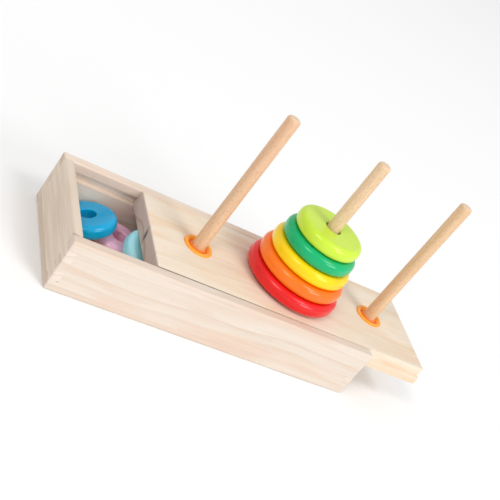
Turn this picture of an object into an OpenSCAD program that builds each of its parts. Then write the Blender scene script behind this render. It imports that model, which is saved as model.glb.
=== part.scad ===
// Tower of Hanoi puzzle on a wooden storage box.
// The thick sliding lid is the board: three removable pegs stand in plastic sockets in it.
// Five rings are stacked on the middle peg, and three more lie in the open end of the box.
// Millimetres. X runs along the box, Y across it, Z up.
// The origin is the centre of the box's underside.

/* [Box] */
// Length of the box over its end walls
box_l = 243; // [220:1:260]
// Width of the box over its side walls
box_w = 100; // [96:1:110]
// Height of the side walls and of the tall end wall
box_h = 41; // [40:0.5:48]
// Thickness of each side wall
side_t = 8.6; // [8:0.1:10]
// Thickness of each end wall
end_t = 6.9; // [6:0.1:9]
// Thickness of the plywood bottom
floor_t = 2.4; // [2:0.1:2.6]
// Width of the bottom's step into the walls
floor_step = 4; // [3:0.5:5]
// Number of fingers in each corner joint
finger_count = 5; // [3:2:7]
// Radius of the box's upright corners
corner_r = 1.6; // [1:0.1:3]

/* [Sliding lid] */
// Full thickness of the lid
lid_t = 13.7; // [13.2:0.1:14]
// Height of the walls' lips, beside the lid's upper layer
lip_h = 6.8; // [6:0.1:7.2]
// How far the lid's tongues reach into the walls
tongue_d = 2.6; // [2:0.1:3.5]
// How far the lid stands open at rest
lid_open = 54; // [40:1:60]
// Play between the lid and the walls, on each face
lid_play = 0.3; // [0.25:0.05:0.4]

/* [Pegs and sockets] */
// Diameter of a peg
peg_d = 10; // [9:0.5:11]
// Height of a peg's tip above the lid
peg_up = 116; // [100:1:125]
// Distance between neighbouring pegs
peg_pitch = 78.5; // [76:0.5:84]
// Distance from the lid's inner end to the first peg
peg_first = 38.6; // [30:0.2:42]
// Rounding of a peg's tip
tip_r = 2.4; // [1:0.1:4]
// Diameter of a socket's flange
flange_d = 22.4; // [20:0.1:24]
// Height of a socket's flange above the lid
flange_h = 1.2; // [0.8:0.1:1.6]

/* [Rings] */
// Diameter of the largest ring
ring_big = 75.4; // [68:0.2:76]
// Difference in diameter from one ring to the next
ring_step = 5.6; // [4:0.1:6]
// Thickness of a ring
ring_t = 10.8; // [10:0.1:11]
// Diameter of a ring's hole
ring_hole = 12.6; // [12:0.1:13]
// Rounding of a ring's rim
rim_r = 4.3; // [3:0.1:5]
// Space between stacked rings
ring_gap = 0.2; // [0.1:0.05:0.4]

/* [Hidden] */
$fn = 96;

// Colours
pine = [0.93, 0.84, 0.72];
pine_end = [0.86, 0.75, 0.62];
plywood = [0.88, 0.78, 0.64];
beech = [0.87, 0.70, 0.53];
socket_orange = [1.0, 0.62, 0.12];
plug_orange = [0.95, 0.50, 0.10];

// Ends of the box along X, and its faces across Y
x_left = -box_l / 2;
x_right = box_l / 2;
y_front = -box_w / 2;
y_back = box_w / 2;
inner_w = box_w - 2 * side_t;
finger_h = box_h / finger_count;

// Heights of the lid's two layers and of the grooves that hold its tongues
lid_bottom = box_h - lid_t;
ledge_z = lid_bottom - lid_play;
groove_top = box_h - lip_h;
tongue_top = groove_top - lid_play;
groove_d = tongue_d + lid_play;
low_wall_h = lid_bottom - lid_play;

// The lid's ends at rest
lid_l = box_l - end_t - lid_play;
lid_x = x_left + end_t + lid_play + lid_open;

// Pegs: left, centre, right
peg_x = [for (i = [0:2]) lid_x + peg_first + i * peg_pitch];
peg_tip_z = box_h + peg_up;

// Socket: a flange on the lid and a barrel in a blind hole
barrel_d = 17;
barrel_l = 11;
socket_bore = 14.4;
mouth_d = 17.4;
mouth_h = 1.6;

// Plug: a round body in the socket, with a neck around the peg
plug_d = 14.3;
plug_l = 9.6;
plug_foot_gap = 0.4;
neck_d = 12.2;
neck_top = 0.5;
tenon_d = 8;
tenon_l = 9;
barrel_floor = box_h - barrel_l;
plug_foot = barrel_floor + plug_foot_gap;
plug_shoulder = plug_foot + plug_l;
plug_top = box_h + neck_top;

// The lowest ring on the stack lies on the socket's flange
stack_z = box_h + flange_h + ring_gap;
stack_pitch = ring_t + ring_gap;

// The rings that lie loose: the centre in plan, then how far the ring leans and to which side
teal_at = [-44.9, 0.3];
teal_lean = [20.7, -41.8];
blue_at = [-92.4, 20];
blue_lean = [24.2, 159.8];
pink_at = [-65.1, 19.2];
pink_lean = [0, 0];

function ring_d(i) = ring_big - i * ring_step;

// Height of a ring's middle over its lowest point, when it leans by that angle
function lean_h(i, tilt) = (ring_d(i) / 2 - rim_r) * sin(tilt) + (ring_t / 2 - rim_r) * cos(tilt) + rim_r;

// The box's outline in plan, with rounded upright corners
module box_plan() {
    square([box_l - 2 * corner_r, box_w], center = true);
    square([box_l, box_w - 2 * corner_r], center = true);
    for (sx = [-1, 1], sy = [-1, 1])
        translate([sx * (box_l / 2 - corner_r), sy * (box_w / 2 - corner_r)])
            circle(corner_r);
}

module box_block() {
    linear_extrude(box_h) box_plan();
}

// The step that the bottom panel lies in
module floor_seat() {
    seat_l = box_l - 2 * end_t + 2 * floor_step;
    seat_w = inner_w + 2 * floor_step;
    translate([-seat_l / 2, -seat_w / 2, 0]) cube([seat_l, seat_w, floor_t]);
}

// Every second finger space at both ends, cut from the side walls
module finger_spaces() {
    for (k = [1:2:finger_count - 2]) {
        translate([x_left, y_front, k * finger_h]) cube([end_t, box_w, finger_h]);
        if ((k + 1) * finger_h < low_wall_h)
            translate([x_right - end_t, y_front, k * finger_h]) cube([end_t, box_w, finger_h]);
    }
}

// A side wall: fingers at its ends, and a groove for the lid's tongue that opens to the right
module side_wall(y_inner, dir) {
    groove_l = box_l - end_t;
    difference() {
        intersection() {
            box_block();
            translate([x_left, dir > 0 ? y_inner : y_inner - side_t, 0])
                cube([box_l, side_t, box_h]);
        }
        finger_spaces();
        floor_seat();
        translate([x_left + end_t, dir > 0 ? y_inner - 1 : y_inner - groove_d, ledge_z])
            cube([groove_l + 1, groove_d + 1, groove_top - ledge_z]);
    }
}

module front_wall() {
    color(pine) side_wall(-inner_w / 2, -1);
}

module back_wall() {
    color(pine) side_wall(inner_w / 2, 1);
}

// An end wall: a board between the side walls, with fingers through them
module end_wall(x_outer, dir, wall_h, fingers) {
    x0 = dir > 0 ? x_outer : x_outer - end_t;
    difference() {
        intersection() {
            box_block();
            union() {
                translate([x0, -inner_w / 2, 0]) cube([end_t, inner_w, wall_h]);
                for (k = fingers)
                    translate([x0, y_front, k * finger_h]) cube([end_t, box_w, finger_h]);
            }
        }
        floor_seat();
    }
}

module left_end_wall() {
    color(pine_end) end_wall(x_left, 1, box_h, [1:2:finger_count - 2]);
}

// The right end wall is lower, so that the lid slides out over it
module right_end_wall() {
    low_fingers = [for (k = [1:2:finger_count - 2]) if ((k + 1) * finger_h < low_wall_h) k];
    color(pine_end) end_wall(x_right, -1, low_wall_h, low_fingers);
}

module bottom_panel() {
    color(plywood) floor_seat();
}

// The lid: an upper layer between the lips and a wider lower layer whose edges are the tongues
module lid() {
    upper_w = inner_w - 2 * lid_play;
    lower_w = inner_w + 2 * tongue_d;
    color(pine) difference() {
        union() {
            translate([lid_x, -upper_w / 2, lid_bottom]) cube([lid_l, upper_w, lid_t]);
            translate([lid_x, -lower_w / 2, lid_bottom]) cube([lid_l, lower_w, tongue_top - lid_bottom]);
        }
        for (x = peg_x)
            translate([x, 0, barrel_floor]) cylinder(d = barrel_d, h = barrel_l + 1);
    }
}

// A socket: a flange on the lid, a barrel in it, and a bore with a wide mouth
module socket(x) {
    color(socket_orange) translate([x, 0, 0]) difference() {
        union() {
            translate([0, 0, barrel_floor]) cylinder(d = barrel_d, h = barrel_l);
            translate([0, 0, box_h]) cylinder(d1 = flange_d, d2 = flange_d - 0.8, h = flange_h);
        }
        translate([0, 0, barrel_floor - 1]) cylinder(d = socket_bore, h = barrel_l + flange_h + 2);
        translate([0, 0, box_h + flange_h - mouth_h])
            cylinder(d1 = socket_bore, d2 = mouth_d, h = mouth_h + 0.01);
    }
}

module left_socket() {
    socket(peg_x[0]);
}

module centre_socket() {
    socket(peg_x[1]);
}

module right_socket() {
    socket(peg_x[2]);
}

// A plug: its body sits in the socket, and its bore holds the peg's tenon
module plug(x) {
    color(plug_orange) translate([x, 0, 0]) difference() {
        union() {
            translate([0, 0, plug_foot]) cylinder(d = plug_d, h = plug_l);
            translate([0, 0, plug_shoulder]) cylinder(d = neck_d, h = plug_top - plug_shoulder);
        }
        translate([0, 0, plug_top - tenon_l]) cylinder(d = tenon_d, h = tenon_l + 1);
    }
}

module left_plug() {
    plug(peg_x[0]);
}

module centre_plug() {
    plug(peg_x[1]);
}

module right_plug() {
    plug(peg_x[2]);
}

// A turned dowel: a thin tenon below, and a rounded tip
module peg(x) {
    peg_r = peg_d / 2;
    shank = peg_tip_z - tip_r - plug_top;
    color(beech) translate([x, 0, plug_top]) {
        translate([0, 0, -tenon_l]) cylinder(d = tenon_d, h = tenon_l);
        cylinder(d = peg_d, h = shank);
        translate([0, 0, shank]) rotate_extrude() {
            square([peg_r - tip_r, tip_r]);
            intersection() {
                translate([peg_r - tip_r, 0]) circle(tip_r);
                square([peg_r, tip_r]);
            }
        }
    }
}

module left_peg() {
    peg(peg_x[0]);
}

module centre_peg() {
    peg(peg_x[1]);
}

module right_peg() {
    peg(peg_x[2]);
}

// A flat ring with a rounded rim, centred on its own middle
module ring(d) {
    rim = d / 2 - rim_r;
    hole_r = ring_hole / 2;
    translate([0, 0, -ring_t / 2]) rotate_extrude() {
        translate([hole_r, 0]) square([rim - hole_r, ring_t]);
        translate([hole_r, rim_r]) square([d / 2 - hole_r, ring_t - 2 * rim_r]);
        translate([rim, rim_r]) circle(rim_r);
        translate([rim, ring_t - rim_r]) circle(rim_r);
    }
}

// A ring on the middle peg, counted from the lid upwards
module stacked_ring(i) {
    translate([peg_x[1], 0, stack_z + i * stack_pitch + ring_t / 2]) ring(ring_d(i));
}

// A ring that lies on the bottom panel: lean is its tilt and the side that its axis leans to
module loose_ring(i, at, lean) {
    translate([at[0], at[1], floor_t + ring_gap + lean_h(i, lean[0])])
        rotate([0, 0, lean[1]]) rotate([0, lean[0], 0]) ring(ring_d(i));
}

module red_ring() {
    color([0.85, 0.08, 0.10]) stacked_ring(0);
}

module orange_ring() {
    color([0.97, 0.45, 0.08]) stacked_ring(1);
}

module yellow_ring() {
    color([1.0, 0.82, 0.05]) stacked_ring(2);
}

module green_ring() {
    color([0.0, 0.60, 0.30]) stacked_ring(3);
}

module lime_ring() {
    color([0.65, 0.83, 0.15]) stacked_ring(4);
}

module teal_ring() {
    color([0.50, 0.82, 0.82]) loose_ring(5, teal_at, teal_lean);
}

module blue_ring() {
    color([0.08, 0.55, 0.80]) loose_ring(6, blue_at, blue_lean);
}

module pink_ring() {
    color([0.93, 0.62, 0.75]) loose_ring(7, pink_at, pink_lean);
}

front_wall();
back_wall();
left_end_wall();
right_end_wall();
bottom_panel();
lid();
left_socket();
centre_socket();
right_socket();
left_plug();
centre_plug();
right_plug();
left_peg();
centre_peg();
right_peg();
red_ring();
orange_ring();
yellow_ring();
green_ring();
lime_ring();
teal_ring();
blue_ring();
pink_ring();
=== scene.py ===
import math

import bmesh
import bpy
from mathutils import Matrix, Vector


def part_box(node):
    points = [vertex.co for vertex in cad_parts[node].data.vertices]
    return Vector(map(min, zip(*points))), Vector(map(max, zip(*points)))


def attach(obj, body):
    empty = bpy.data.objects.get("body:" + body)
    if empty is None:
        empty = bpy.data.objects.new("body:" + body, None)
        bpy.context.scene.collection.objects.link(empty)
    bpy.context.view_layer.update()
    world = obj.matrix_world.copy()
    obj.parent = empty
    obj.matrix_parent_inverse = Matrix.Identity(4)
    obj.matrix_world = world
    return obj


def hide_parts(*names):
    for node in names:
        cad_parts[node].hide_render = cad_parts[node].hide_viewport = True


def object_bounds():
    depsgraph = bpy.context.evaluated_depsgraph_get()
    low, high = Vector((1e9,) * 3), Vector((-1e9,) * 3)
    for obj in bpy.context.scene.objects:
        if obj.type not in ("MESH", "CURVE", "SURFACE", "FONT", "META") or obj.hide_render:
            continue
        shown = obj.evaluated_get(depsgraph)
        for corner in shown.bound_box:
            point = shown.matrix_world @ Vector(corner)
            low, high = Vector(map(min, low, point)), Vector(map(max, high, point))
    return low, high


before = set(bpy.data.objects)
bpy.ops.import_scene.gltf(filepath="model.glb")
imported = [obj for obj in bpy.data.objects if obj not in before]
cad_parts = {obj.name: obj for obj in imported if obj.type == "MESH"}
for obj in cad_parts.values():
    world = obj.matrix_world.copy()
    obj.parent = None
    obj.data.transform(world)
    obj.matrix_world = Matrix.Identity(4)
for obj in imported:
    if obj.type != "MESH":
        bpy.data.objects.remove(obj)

cad_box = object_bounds()
scene = bpy.context.scene
MM = 0.001


# ---------------------------------------------------------------- node graphs

def rgb(r, g, b):
    """A display colour, 0 to 255, as linear light."""
    def lin(v):
        v = v / 255
        return v / 12.92 if v <= 0.04045 else ((v + 0.055) / 1.055) ** 2.4
    return (lin(r), lin(g), lin(b), 1.0)


class Graph:
    """A material's node tree, built with short calls that take numbers or sockets."""

    def __init__(self, name):
        self.mat = bpy.data.materials.new(name)
        self.mat.use_nodes = True
        self.tree = self.mat.node_tree
        self.tree.nodes.clear()
        output = self.tree.nodes.new("ShaderNodeOutputMaterial")
        self.bsdf = self.tree.nodes.new("ShaderNodeBsdfPrincipled")
        self.tree.links.new(self.bsdf.outputs[0], output.inputs[0])

    def put(self, socket, value):
        """Links an output to the socket, or sets the socket to a constant."""
        if isinstance(value, bpy.types.NodeSocket):
            self.tree.links.new(value, socket)
        else:
            socket.default_value = value

    def math(self, op, *values):
        n = self.tree.nodes.new("ShaderNodeMath")
        n.operation = op
        for i, value in enumerate(values):
            self.put(n.inputs[i], value)
        return n.outputs[0]

    def mul(self, a, b):
        return self.math("MULTIPLY", a, b)

    def add(self, a, b):
        return self.math("ADD", a, b)

    def split(self, vector):
        n = self.tree.nodes.new("ShaderNodeSeparateXYZ")
        self.put(n.inputs[0], vector)
        return n.outputs[0], n.outputs[1], n.outputs[2]

    def join(self, x, y, z):
        n = self.tree.nodes.new("ShaderNodeCombineXYZ")
        for i, value in enumerate((x, y, z)):
            self.put(n.inputs[i], value)
        return n.outputs[0]

    def noise(self, vector, scale=1.0, detail=2.0, rough=0.5, out=0):
        """Noise of about 0 to 1; output 0 is a number, and output 1 is three of them."""
        n = self.tree.nodes.new("ShaderNodeTexNoise")
        self.put(n.inputs["Vector"], vector)
        n.inputs["Scale"].default_value = scale
        n.inputs["Detail"].default_value = detail
        n.inputs["Roughness"].default_value = rough
        return n.outputs[out]

    def ramp(self, fac, *stops):
        """A smooth curve through (place, value) stops."""
        n = self.tree.nodes.new("ShaderNodeValToRGB")
        self.put(n.inputs[0], fac)
        e = n.color_ramp.elements
        while len(e) < len(stops):
            e.new(0.5)
        for i, (at, value) in enumerate(stops):
            e[i].position = at
            e[i].color = (value, value, value, 1)
        n.color_ramp.interpolation = "EASE"
        return n.outputs[0]

    def range(self, value, a, b, c=0.0, d=1.0):
        """Goes smoothly from c to d as the value goes from a to b."""
        n = self.tree.nodes.new("ShaderNodeMapRange")
        n.interpolation_type = "SMOOTHSTEP"
        for i, v in enumerate((value, a, b, c, d)):
            self.put(n.inputs[i], v)
        return n.outputs[0]

    def mix(self, fac, a, b, blend="MIX"):
        n = self.tree.nodes.new("ShaderNodeMix")
        n.data_type = "RGBA"
        n.blend_type = blend
        # On a colour mix, inputs 6 and 7 are the two colours and output 2 is the result
        self.put(n.inputs[0], fac)
        self.put(n.inputs[6], a)
        self.put(n.inputs[7], b)
        return n.outputs[2]

    def bump(self, height, distance, strength):
        """Fine relief; distance is in metres."""
        n = self.tree.nodes.new("ShaderNodeBump")
        n.inputs["Strength"].default_value = strength
        n.inputs["Distance"].default_value = distance
        self.put(n.inputs["Height"], height)
        self.put(self.bsdf.inputs["Normal"], n.outputs[0])

    def finish(self, colour, rough, specular=0.5, coat=0.0, coat_rough=0.1):
        self.put(self.bsdf.inputs["Base Color"], colour)
        self.put(self.bsdf.inputs["Roughness"], rough)
        self.bsdf.inputs["Specular IOR Level"].default_value = specular
        self.bsdf.inputs["Coat Weight"].default_value = coat
        self.bsdf.inputs["Coat Roughness"].default_value = coat_rough
        return self.mat


def millimetres(g, seed=0.0):
    """The object's own coordinates in millimetres, moved by a seed so that no two pieces match."""
    at = g.tree.nodes.new("ShaderNodeTexCoord").outputs["Object"]
    x, y, z = g.split(at)
    return [g.add(g.mul(c, 1000.0), seed) for c in (x, y, z)]


# The axis along the grain, and then the two across it
AXES = {"x": (0, 1, 2), "y": (1, 0, 2)}


def surface_normal(g):
    """The direction that a point of the surface faces."""
    return g.tree.nodes.new("ShaderNodeNewGeometry").outputs["Normal"]


def pine(name, along, pith, spacing, early, late, blush, end, seed, contrast, wander, knot=None):
    """Sanded pine: growth rings round a distant pith, fibres, drift of colour, and end grain.

    The pith is given across the grain in mm, and spacing is the rings' in mm. Factors on positions
    are waves per mm: low along the grain and high across it.
    """
    g = Graph(name)
    xyz = millimetres(g)
    u, v, w = (xyz[i] for i in AXES[along])
    us = g.add(u, seed)
    slow = g.noise(g.join(g.mul(us, 0.0055), g.mul(v, 0.022), g.mul(w, 0.022)), detail=2.0, out=1)
    sx, sy, _ = g.split(slow)
    v2 = g.add(v, g.mul(g.add(sx, -0.5), wander * 2))
    w2 = g.add(w, g.mul(g.add(sy, -0.5), wander * 2))
    dv = g.add(v2, -pith[0])
    dw = g.add(w2, -pith[1])
    r = g.math("SQRT", g.add(g.mul(dv, dv), g.mul(dw, dw)))
    count = g.add(g.mul(r, 1.0 / spacing), g.mul(g.noise(g.join(g.mul(r, 0.12), seed, 0.0)), 1.1))
    part = g.math("FRACT", count)
    whole = g.math("FLOOR", count)
    ring = g.ramp(part, (0.0, 0.0), (0.30, 0.15), (0.65, 0.60), (0.88, 1.0), (1.0, 0.0))
    strength = g.noise(g.join(g.mul(whole, 0.73), seed * 0.37, 0.0), scale=1.3, detail=0.0)
    ring = g.mul(ring, g.range(strength, 0.30, 0.70, 0.25, 1.0))
    fibre = g.noise(g.join(g.mul(us, 0.022), g.mul(v, 0.55), g.mul(w, 0.55)), detail=4.0, rough=0.62)
    fine = g.noise(g.join(g.mul(us, 0.22), g.mul(v, 4.5), g.mul(w, 4.5)), detail=2.0)
    drift = g.noise(g.join(g.mul(us, 0.013), g.mul(v2, 0.075), g.mul(w2, 0.075)), detail=2.0)
    dash = g.noise(g.join(g.mul(us, 0.33), g.mul(v, 3.1), g.mul(w, 3.1)), detail=0.0)
    face = g.mix(g.mul(ring, contrast), early, late)
    face = g.mix(g.mul(g.range(drift, 0.46, 0.68), 0.75), face, blush)
    face = g.mix(g.mul(g.range(fibre, 0.38, 0.74), 0.14), face, g.mix(1.0, face, late, "MULTIPLY"))
    face = g.mix(g.mul(g.range(dash, 0.70, 0.78), 0.28), face, late)
    pores = g.noise(g.join(g.mul(u, 0.3), g.mul(v, 2.6), g.mul(w, 2.6)), detail=3.0, rough=0.7)
    cut = g.mix(g.range(ring, 0.1, 1.0, 0.0, 0.60), end, g.mix(1.0, end, late, "MULTIPLY"))
    cut = g.mix(g.range(pores, 0.46, 0.72, 0.0, 0.60), cut, g.mix(1.0, cut, late, "MULTIPLY"))
    facing = g.math("ABSOLUTE", g.split(surface_normal(g))["xyz".index(along)])
    colour = g.mix(g.range(facing, 0.55, 0.92), face, cut)
    if knot:
        # An oval knot on the end face at x = edge: its middle, its long axis and its half sizes
        (ky, kz), (ty, tz), length, width, edge = knot
        dy = g.add(xyz[1], -ky)
        dz = g.add(xyz[2], -kz)
        a = g.add(g.mul(dy, ty), g.mul(dz, tz))
        b = g.add(g.mul(dy, -tz), g.mul(dz, ty))
        oval = g.add(g.math("POWER", g.math("ABSOLUTE", g.mul(a, 1 / length)), 2.0),
                     g.math("POWER", g.math("ABSOLUTE", g.mul(b, 1 / width)), 2.0))
        oval = g.add(oval, g.mul(g.add(pores, -0.5), 0.8))
        depth = g.range(xyz[0], edge, edge + 2.0, 1.0, 0.0)
        core = g.mul(g.range(oval, 0.55, 1.25, 1.0, 0.0), depth)
        halo = g.mul(g.range(oval, 1.0, 6.0, 0.35, 0.0), depth)
        colour = g.mix(halo, colour, rgb(150, 128, 116))
        colour = g.mix(core, colour, rgb(100, 104, 98))
    height = g.add(g.mul(fine, 0.6), g.add(g.mul(ring, 0.25), g.mul(fibre, 0.5)))
    g.bump(height, 0.0002, 0.35)
    return g.finish(colour, g.range(fibre, 0.2, 0.8, 0.52, 0.70), specular=0.35)


def beech(name, pale, warm, seed):
    """Turned beech dowel: fine grain along the peg, with short flecks, and a paler sanded tip."""
    g = Graph(name)
    x, y, z = millimetres(g)
    zs = g.add(z, seed)
    broad = g.noise(g.join(g.mul(x, 0.16), g.mul(y, 0.16), g.mul(zs, 0.012)), detail=2.0)
    streak = g.noise(g.join(g.mul(x, 1.3), g.mul(y, 1.3), g.mul(zs, 0.05)), detail=3.0, rough=0.6)
    fleck = g.noise(g.join(g.mul(x, 2.6), g.mul(y, 2.6), g.mul(zs, 0.55)), detail=0.0)
    fine = g.noise(g.join(g.mul(x, 6.0), g.mul(y, 6.0), g.mul(zs, 0.35)), detail=2.0)
    colour = g.mix(g.range(broad, 0.32, 0.68), pale, warm)
    colour = g.mix(g.mul(g.range(streak, 0.38, 0.74), 0.55), colour, rgb(207, 166, 126))
    colour = g.mix(g.mul(g.range(fleck, 0.66, 0.76), 0.60), colour, rgb(178, 132, 96))
    up = g.math("ABSOLUTE", g.split(surface_normal(g))[2])
    pores = g.noise(g.join(g.mul(x, 2.2), g.mul(y, 2.2), 0.0), detail=2.0)
    tip = g.mix(g.mul(pores, 0.5), rgb(232, 205, 176), rgb(206, 172, 140))
    colour = g.mix(g.range(up, 0.55, 0.95), colour, tip)
    g.bump(g.add(fine, g.mul(streak, 0.6)), 0.00015, 0.3)
    return g.finish(colour, g.range(streak, 0.2, 0.8, 0.46, 0.60), specular=0.4)


def gloss_paint(name, base, deep, seed):
    """Gloss enamel on turned wood: faint clouding, patches of a deeper tone, and slight orange peel."""
    g = Graph(name)
    x, y, z = millimetres(g, seed)
    at = g.join(x, y, z)
    cloud = g.noise(at, scale=0.045, detail=2.0)
    mottle = g.noise(at, scale=0.35, detail=3.0, rough=0.6)
    peel = g.noise(at, scale=0.75, detail=1.0)
    grain = g.noise(g.join(g.mul(x, 0.10), g.mul(y, 0.9), g.mul(z, 0.9)), detail=2.0)
    colour = g.mix(g.mul(g.range(cloud, 0.30, 0.72), 0.45), base, deep)
    colour = g.mix(g.mul(g.range(mottle, 0.45, 0.75), 0.10), colour, deep)
    g.bump(g.add(g.mul(peel, 0.7), g.mul(grain, 0.5)), 0.00010, 0.08)
    # The under layer's highlights take on some of the paint's colour, and the clear coat's stay white
    top = max(base[:3])
    g.bsdf.inputs["Specular Tint"].default_value = [0.6 + 0.4 * c / top for c in base[:3]] + [1]
    rough = g.range(mottle, 0.25, 0.75, 0.21, 0.26)
    return g.finish(colour, rough, specular=0.58, coat=0.12, coat_rough=0.14)


def moulded(name, base, deep, seed):
    """Injection-moulded plastic: satin gloss, faint flow marks round the part, and a fine texture."""
    g = Graph(name)
    x, y, z = millimetres(g, seed)
    at = g.join(x, y, z)
    flow = g.noise(g.join(g.mul(x, 0.18), g.mul(y, 0.18), g.mul(z, 1.4)), detail=2.0)
    grit = g.noise(at, scale=3.2, detail=1.0)
    colour = g.mix(g.mul(g.range(flow, 0.35, 0.70), 0.55), base, deep)
    g.bump(grit, 0.00006, 0.35)
    return g.finish(colour, g.range(grit, 0.3, 0.7, 0.26, 0.36), specular=0.5)


# ---------------------------------------------------------------- shapes

on_axis_mm = 1e-6
weld_m = 2e-6
flat_below = math.radians(0.4)
eased_above = math.radians(40)
smooth_below = math.radians(50)


def rounded(corners, steps, closed=True):
    """(radius, height, fillet) corners in mm as a polyline with its corners rounded."""
    pts = []
    n = len(corners)
    for i, (r, z, f) in enumerate(corners):
        here = Vector((r, z))
        if f <= 0 or (not closed and i in (0, n - 1)):
            pts.append((r, z))
            continue
        a = Vector(corners[i - 1][:2]) - here
        b = Vector(corners[(i + 1) % n][:2]) - here
        half = a.angle(b) / 2
        reach = f / math.tan(half)
        centre = here + (a.normalized() + b.normalized()).normalized() * (f / math.sin(half))
        start = here + a.normalized() * reach - centre
        end = here + b.normalized() * reach - centre
        turn = start.angle_signed(end)
        for k in range(steps + 1):
            t = -turn * k / steps
            c, s = math.cos(t), math.sin(t)
            p = centre + Vector((c * start.x - s * start.y, s * start.x + c * start.y))
            pts.append((p.x, p.y))
    return pts


def even(pts, step, closed=True):
    """Adds points along the long straight runs, so that shading and bakes stay even."""
    out = []
    following = pts[1:] + pts[:1] if closed else pts[1:]
    for (r0, z0), (r1, z1) in zip(pts, following):
        n = max(1, int(math.hypot(r1 - r0, z1 - z0) / step))
        out += [(r0 + (r1 - r0) * k / n, z0 + (z1 - z0) * k / n) for k in range(n)]
    return out if closed else out + [pts[-1]]


def lathe(name, pts, place, segments, closed=True, waviness=None):
    """A turned solid from (radius, height) points in mm, put in place by a matrix in metres."""
    bm = bmesh.new()
    rows = []
    for r, z in pts:
        if r < on_axis_mm:
            rows.append([bm.verts.new((0, 0, z))])
            continue
        row = []
        for k in range(segments):
            a = 2 * math.pi * k / segments
            d = waviness(a, z) if waviness else 0.0
            row.append(bm.verts.new(((r + d) * math.cos(a), (r + d) * math.sin(a), z)))
        rows.append(row)
    pairs = list(zip(rows, rows[1:])) + ([(rows[-1], rows[0])] if closed else [])
    for lo, hi in pairs:
        for k in range(segments):
            j = (k + 1) % segments
            if len(lo) == 1 and len(hi) > 1:
                bm.faces.new((lo[0], hi[j], hi[k]))
            elif len(hi) == 1 and len(lo) > 1:
                bm.faces.new((lo[k], lo[j], hi[0]))
            elif len(lo) > 1:
                bm.faces.new((lo[k], lo[j], hi[j], hi[k]))
    bmesh.ops.recalc_face_normals(bm, faces=bm.faces)
    bmesh.ops.scale(bm, vec=(MM, MM, MM), verts=bm.verts)
    bmesh.ops.transform(bm, matrix=place, verts=bm.verts)
    mesh = bpy.data.meshes.new(name)
    bm.to_mesh(mesh)
    bm.free()
    mesh.shade_smooth()
    mesh.set_sharp_from_angle(angle=smooth_below)
    ob = bpy.data.objects.new(name, mesh)
    scene.collection.objects.link(ob)
    return ob


def board(name, node, is_outer, outer=1.5, inner=0.08):
    """A wooden board with eased edges, made from a CAD node's shape.

    Its outer edges are eased by outer mm and the edges at its joints by inner mm.
    """
    bm = bmesh.new()
    bm.from_mesh(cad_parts[node].data)
    bmesh.ops.remove_doubles(bm, verts=bm.verts, dist=weld_m)
    bmesh.ops.dissolve_limit(bm, angle_limit=flat_below, verts=bm.verts, edges=bm.edges)
    weight = bm.edges.layers.float.new("bevel_weight_edge")
    for e in bm.edges:
        if len(e.link_faces) == 2 and e.calc_face_angle(0) > eased_above:
            e[weight] = 1.0 if is_outer(*[v.co / MM for v in e.verts]) else inner / outer
    mesh = bpy.data.meshes.new(name)
    bm.to_mesh(mesh)
    bm.free()
    mesh.shade_smooth()
    ob = bpy.data.objects.new(name, mesh)
    scene.collection.objects.link(ob)
    bevel = ob.modifiers.new("eased_edges", "BEVEL")
    bevel.limit_method = "WEIGHT"
    bevel.width = outer * MM
    bevel.segments = 4
    bevel.profile = 0.5
    bevel.harden_normals = True
    bevel.use_clamp_overlap = True
    return ob


def dress(ob, body, node, mat):
    """Puts a piece on its body, in the place of its CAD node, with its material."""
    ob.data.materials.clear()
    ob.data.materials.append(mat)
    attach(ob, body)
    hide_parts(node)


# ---------------------------------------------------------------- the box

walls_lo, walls_hi = (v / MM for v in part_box("front_wall"))
x_left, x_right = walls_lo.x, walls_hi.x
y_front = walls_lo.y
y_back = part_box("back_wall")[1].y / MM
z_top = walls_hi.z
lid_lo, lid_hi = (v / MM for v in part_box("lid"))

# Two places are the same below touch_mm, and a rim edge lies within rim_mm of the outside
touch_mm = 0.05
rim_mm = 1.65


def level_at(z, *points):
    """Whether points lie at one height."""
    return all(abs(p.z - z) < touch_mm for p in points)


def outer_edge(a, b):
    """An edge on the outside of the box, along its top or bottom rim."""
    def along(axis, lo, hi):
        return all(min(abs(p[axis] - lo), abs(p[axis] - hi)) < rim_mm for p in (a, b))
    rim = level_at(0, a, b) or level_at(z_top, a, b)
    return rim and (along(1, y_front, y_back) or along(0, x_left, x_right))


def end_wall_edge(a, b):
    """The right end wall's outer edges, and its low top edge on the outside."""
    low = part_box("right_end_wall")[1].z / MM
    outside = all(abs(p.x - x_right) < touch_mm for p in (a, b))
    return outer_edge(a, b) or (level_at(low, a, b) and outside)


pine_front = pine(
    "pine_front", "x", pith=(-20.0, -90.0), spacing=9.0, early=rgb(225, 213, 200), late=rgb(208, 177, 150),
    blush=rgb(221, 197, 179), end=rgb(214, 199, 184), seed=17.0, contrast=0.55, wander=13.0)
pine_back = pine(
    "pine_back", "x", pith=(62.0, -84.0), spacing=8.5, early=rgb(232, 218, 203), late=rgb(214, 186, 162),
    blush=rgb(228, 203, 186), end=rgb(214, 199, 184), seed=53.0, contrast=0.58, wander=11.0)
# The left end board's tones are darker than the other walls': this is painted shade for the box's left
# face, which faces away from the lights
pine_left_end_painted_shade = pine(
    "pine_left_end_painted_shade", "y", pith=(-102.0, -70.0), spacing=7.6, early=rgb(223, 207, 189),
    late=rgb(194, 172, 150), blush=rgb(212, 192, 172), end=rgb(232, 219, 206), seed=31.0,
    contrast=0.72, wander=6.0)
pine_right_end = pine(
    "pine_right_end", "y", pith=(108.0, 124.0), spacing=7.0, early=rgb(230, 214, 197),
    late=rgb(206, 180, 154), blush=rgb(223, 200, 180), end=rgb(230, 216, 202), seed=71.0,
    contrast=0.80, wander=6.0)
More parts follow.
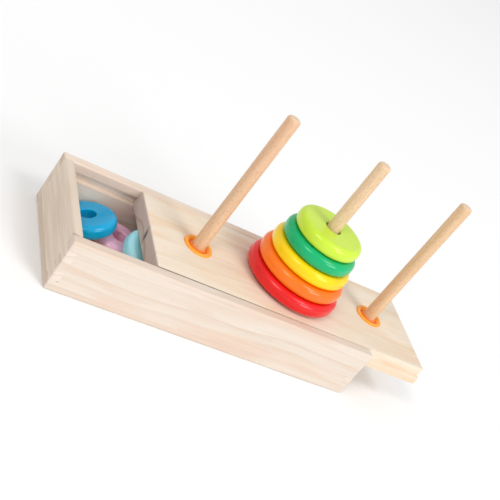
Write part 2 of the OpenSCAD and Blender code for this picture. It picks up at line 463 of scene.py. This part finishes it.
pine_top = pine(
    "pine_top", "x", pith=(6.0, -20.0), spacing=7.5, early=rgb(235, 222, 204), late=rgb(223, 192, 154),
    blush=rgb(230, 203, 173), end=rgb(216, 198, 190), seed=5.0, contrast=0.60, wander=14.0,
    knot=((-1.4, 34.5), (0.41, 0.91), 3.8, 1.4, lid_lo.x))

# A wall's piece and node, its material slot and wood, and which of its edges are outer ones
WALLS = (
    ("front_wall_board", "front_wall", "pine_side", pine_front, outer_edge),
    ("back_wall_board", "back_wall", "pine_side", pine_back, outer_edge),
    ("left_end_board", "left_end_wall", "pine_end_board", pine_left_end_painted_shade, outer_edge),
    ("right_end_board", "right_end_wall", "pine_end_board", pine_right_end, end_wall_edge),
)
for piece, node, slot, wood, is_outer in WALLS:
    dress(board(piece, node, is_outer), "storage_box", node, wood)


def plywood(name):
    """Thin poplar plywood, pale and even, with long fine grain."""
    g = Graph(name)
    x, y, z = millimetres(g, 11.0)
    broad = g.noise(g.join(g.mul(x, 0.010), g.mul(y, 0.06), 0.0), detail=2.0)
    streak = g.noise(g.join(g.mul(x, 0.03), g.mul(y, 0.9), g.mul(z, 3.0)), detail=3.0, rough=0.6)
    pores = g.noise(g.join(g.mul(x, 0.25), g.mul(y, 3.5), g.mul(z, 3.5)), detail=1.0)
    colour = g.mix(g.range(broad, 0.35, 0.68), rgb(233, 212, 182), rgb(224, 198, 164))
    colour = g.mix(g.mul(g.range(streak, 0.40, 0.74), 0.5), colour, rgb(206, 176, 140))
    colour = g.mix(g.mul(g.range(pores, 0.64, 0.76), 0.4), colour, rgb(176, 142, 106))
    g.bump(g.add(streak, pores), 0.00015, 0.3)
    return g.finish(colour, g.range(streak, 0.2, 0.8, 0.56, 0.70), specular=0.35)


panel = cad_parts["bottom_panel"]
panel.data.materials.clear()
panel.data.materials.append(plywood("plywood_sheet"))


# ---------------------------------------------------------------- the lid, sockets, plugs and pegs

def lid_edge(a, b):
    """The lid's top edges at its two ends, and every edge of its outer end."""
    across = abs(a.x - b.x) < touch_mm
    ends = across and min(abs(a.x - lid_lo.x), abs(a.x - lid_hi.x)) < touch_mm
    far = all(abs(p.x - lid_hi.x) < touch_mm for p in (a, b))
    return (level_at(lid_hi.z, a, b) and ends) or far


lid_board = board("lid_board", "lid", lid_edge, outer=1.6, inner=0.25)
dress(lid_board, "sliding_lid", "lid", pine_top)

socket_orange = moulded("socket_orange", rgb(255, 168, 46), rgb(254, 150, 26), seed=3.0)
plug_orange = moulded("plug_orange", rgb(250, 142, 44), rgb(240, 122, 28), seed=9.0)

# Radii and lengths in mm that the nodes' boxes don't give
bore_r = 7.2
barrel_r = 8.5
mouth_r = 8.7
mouth_h = 1.6
plug_r = 7.15
groove_r = 6.75
plug_l = 9.6
neck_r = 6.1
tenon_bore_r = 4.0
tenon_r = 3.95
tenon_l = 9.0
peg_r = 5.0
peg_tip_r = 2.4


def socket_ring(side, place):
    """A socket: a barrel in the lid, and a flange round it with a rounded rim and a sloping mouth."""
    lo, hi = (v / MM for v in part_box(side + "_socket"))
    flange_r = (hi.x - lo.x) / 2
    profile = rounded([
        (bore_r, lo.z, 0.3), (barrel_r, lo.z, 0.4), (barrel_r, z_top, 0), (flange_r, z_top, 0.12),
        (flange_r - 0.15, hi.z, 0.75), (mouth_r, hi.z, 0.28), (bore_r, hi.z - mouth_h, 0.4)], steps=8)
    ring = lathe(side + "_socket_ring", even(profile, step=1.2), place, segments=144)
    dress(ring, "sliding_lid", side + "_socket", socket_orange)


def plug_body(side, place):
    """A peg's foot: a body with three shallow grooves, and a neck round the peg."""
    lo, hi = (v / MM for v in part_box(side + "_plug"))
    shoulder = lo.z + plug_l
    grooves = []
    for j in range(3):
        z = lo.z + plug_l / 4 * (j + 1)
        grooves += [(plug_r, z - 0.55, 0.12), (groove_r, z - 0.25, 0.12),
                    (groove_r, z + 0.25, 0.12), (plug_r, z + 0.55, 0.12)]
    profile = rounded([(0, lo.z, 0), (plug_r, lo.z, 0.7)] + grooves + [
        (plug_r, shoulder, 0.3), (neck_r, shoulder, 0.2), (neck_r, hi.z, 0.35), (tenon_bore_r, hi.z, 0.15),
        (tenon_bore_r, hi.z - tenon_l, 0), (0, hi.z - tenon_l, 0)], steps=6, closed=False)
    body = lathe(side + "_plug_body", profile, place, segments=96, closed=False)
    dress(body, side + "_post", side + "_plug", plug_orange)


def peg_dowel(k, side, place, wood):
    """A turned dowel, very slightly out of true, with a rounded tip and a tenon in its plug."""
    lo, hi = (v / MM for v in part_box(side + "_peg"))
    seat = lo.z + tenon_l
    profile = rounded([
        (0, lo.z, 0), (tenon_r, lo.z, 0.4), (tenon_r, seat, 0), (peg_r, seat, 0.3),
        (peg_r, hi.z, peg_tip_r), (0, hi.z, 0)], steps=10, closed=False)

    def turned(a, z):
        """Slight waves along the dowel and round it, in mm of radius."""
        return -0.045 + 0.03 * math.sin(z / 9.0 + 2.1 * k) + 0.012 * math.sin(2 * a + z / 21.0 + k)

    pts = even(profile, step=2.5, closed=False)
    dowel = lathe(side + "_peg_dowel", pts, place, segments=72, closed=False, waviness=turned)
    dress(dowel, side + "_post", side + "_peg", wood)


# A peg's side, and its wood's paler and warmer tones
PEGS = (
    ("left", rgb(229, 192, 156), rgb(222, 179, 144)),
    ("centre", rgb(235, 209, 172), rgb(229, 198, 160)),
    ("right", rgb(231, 199, 160), rgb(225, 189, 150)),
)

for k, (side, pale, warm) in enumerate(PEGS):
    lo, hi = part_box(side + "_socket")
    place = Matrix.Translation(((lo.x + hi.x) / 2, (lo.y + hi.y) / 2, 0))
    socket_ring(side, place)
    plug_body(side, place)
    peg_dowel(k, side, place, beech("beech_" + side, pale, warm, seed=40.0 + 83.0 * k))


# ---------------------------------------------------------------- the rings

# Colour, tilt of the axis and the side it leans to in degrees, paint, and deeper paint,
# from the largest ring to the smallest
RINGS = (
    ("red", 0, 0, rgb(234, 28, 30), rgb(206, 16, 22)),
    ("orange", 0, 0, rgb(255, 124, 22), rgb(250, 102, 10)),
    ("yellow", 0, 0, rgb(255, 214, 0), rgb(248, 190, 0)),
    ("green", 0, 0, rgb(0, 182, 114), rgb(0, 158, 94)),
    ("lime", 0, 0, rgb(202, 232, 62), rgb(182, 220, 38)),
    ("teal", 20.7, -41.8, rgb(176, 240, 250), rgb(154, 228, 242)),
    ("blue", 24.2, 159.8, rgb(0, 172, 222), rgb(0, 150, 206)),
    ("pink", 0, 0, rgb(255, 200, 224), rgb(252, 180, 208)),
)

red_lo, red_hi = (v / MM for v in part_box("red_ring"))
orange_lo, orange_hi = (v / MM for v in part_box("orange_ring"))
largest = red_hi.x - red_lo.x
ring_step = largest - (orange_hi.x - orange_lo.x)
half_t = (red_hi.z - red_lo.z) / 2
hole_r = 6.3
hole_edge_r = 0.8
rim_r = 4.3

for k, (colour, tilt, side, paint, deep) in enumerate(RINGS):
    lo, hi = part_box(colour + "_ring")
    place = (Matrix.Translation((lo + hi) / 2) @ Matrix.Rotation(math.radians(side), 4, "Z")
             @ Matrix.Rotation(math.radians(tilt), 4, "Y"))
    outer_r = (largest - k * ring_step) / 2
    profile = rounded([(hole_r, -half_t, hole_edge_r), (outer_r, -half_t, rim_r), (outer_r, half_t, rim_r),
                       (hole_r, half_t, hole_edge_r)], steps=16)

    def hand_made(a, z, k=k):
        """Slightly out of round, in mm of radius."""
        return -0.03 + 0.025 * math.sin(2 * a + k)

    pts = even(profile, step=1.5)
    ring = lathe(colour + "_ring_turned", pts, place, segments=160, waviness=hand_made)
    enamel = gloss_paint(colour + "_gloss", paint, deep, seed=13.0 * k)
    dress(ring, "ring_" + colour, colour + "_ring", enamel)


# ---------------------------------------------------------------- floor, light and camera

floor_mesh = bpy.data.meshes.new("studio_floor")
floor_bm = bmesh.new()
bmesh.ops.create_grid(floor_bm, x_segments=8, y_segments=8, size=6.0)
floor_bm.to_mesh(floor_mesh)
floor_bm.free()
floor = bpy.data.objects.new("studio_floor", floor_mesh)
floor.location = (0, 0, cad_box[0][2])
scene.collection.objects.link(floor)
paper = Graph("pale_paper")
tooth = paper.noise(paper.tree.nodes.new("ShaderNodeTexCoord").outputs["Object"], scale=900.0, detail=2.0)
tone = paper.mix(paper.mul(tooth, 0.05), (0.93, 0.93, 0.93, 1), (0.88, 0.88, 0.88, 1))
paper.finish(tone, 0.9, specular=0.1)
floor.data.materials.append(paper.mat)

sky_strength = 0.68
world = bpy.data.worlds.new("soft_studio")
world.use_nodes = True
background = world.node_tree.nodes["Background"]
background.inputs[0].default_value = (1.0, 1.0, 1.0, 1)
background.inputs[1].default_value = sky_strength
scene.world = world
scene.view_settings.view_transform = "Standard"
scene.view_settings.look = "None"

lit_point = Vector((0.03, 0, 0.05))


def softbox(name, azimuth, elevation, distance, width, height, share):
    """A soft white area light, turned to the object, with its angles in degrees and its sizes in metres.

    The share is the light that a white card facing it gets, next to a white sky of strength 1.
    """
    a, e = math.radians(azimuth), math.radians(elevation)
    towards = Vector((math.cos(a) * math.cos(e), math.sin(a) * math.cos(e), math.sin(e)))
    light = bpy.data.lights.new(name, "AREA")
    light.shape = "RECTANGLE"
    light.size = width
    light.size_y = height
    light.energy = math.pi ** 2 * share * distance ** 2
    ob = bpy.data.objects.new(name, light)
    ob.location = lit_point + towards * distance
    ob.rotation_euler = towards.to_track_quat("Z", "Y").to_euler()
    scene.collection.objects.link(ob)


softbox("key_softbox", azimuth=-54, elevation=56, distance=8.0, width=3.2, height=2.4, share=0.22)
softbox("strip_softbox", azimuth=-60, elevation=23, distance=7.0, width=3.2, height=2.2, share=0.30)
softbox("side_softbox", azimuth=-146, elevation=46, distance=7.0, width=2.0, height=1.3, share=0.20)

camera_data = bpy.data.cameras.new("camera")
camera_data.lens = 73.73
camera_data.sensor_width = 36
camera_data.clip_start = 0.01
camera = bpy.data.objects.new("camera", camera_data)
# The camera is rolled, so its right-hand direction is given as well as the way it looks
camera_at = (-0.33693, -0.54244, 0.36505)
forward = Vector((0.48901, 0.75696, -0.43345)).normalized()
right = Vector((0.80367, -0.19783, 0.56122))
right = (right - forward * right.dot(forward)).normalized()
up = right.cross(forward)
turn = Matrix((right, up, -forward)).transposed()
camera.matrix_world = Matrix.Translation(camera_at) @ turn.to_4x4()
scene.collection.objects.link(camera)
scene.camera = camera
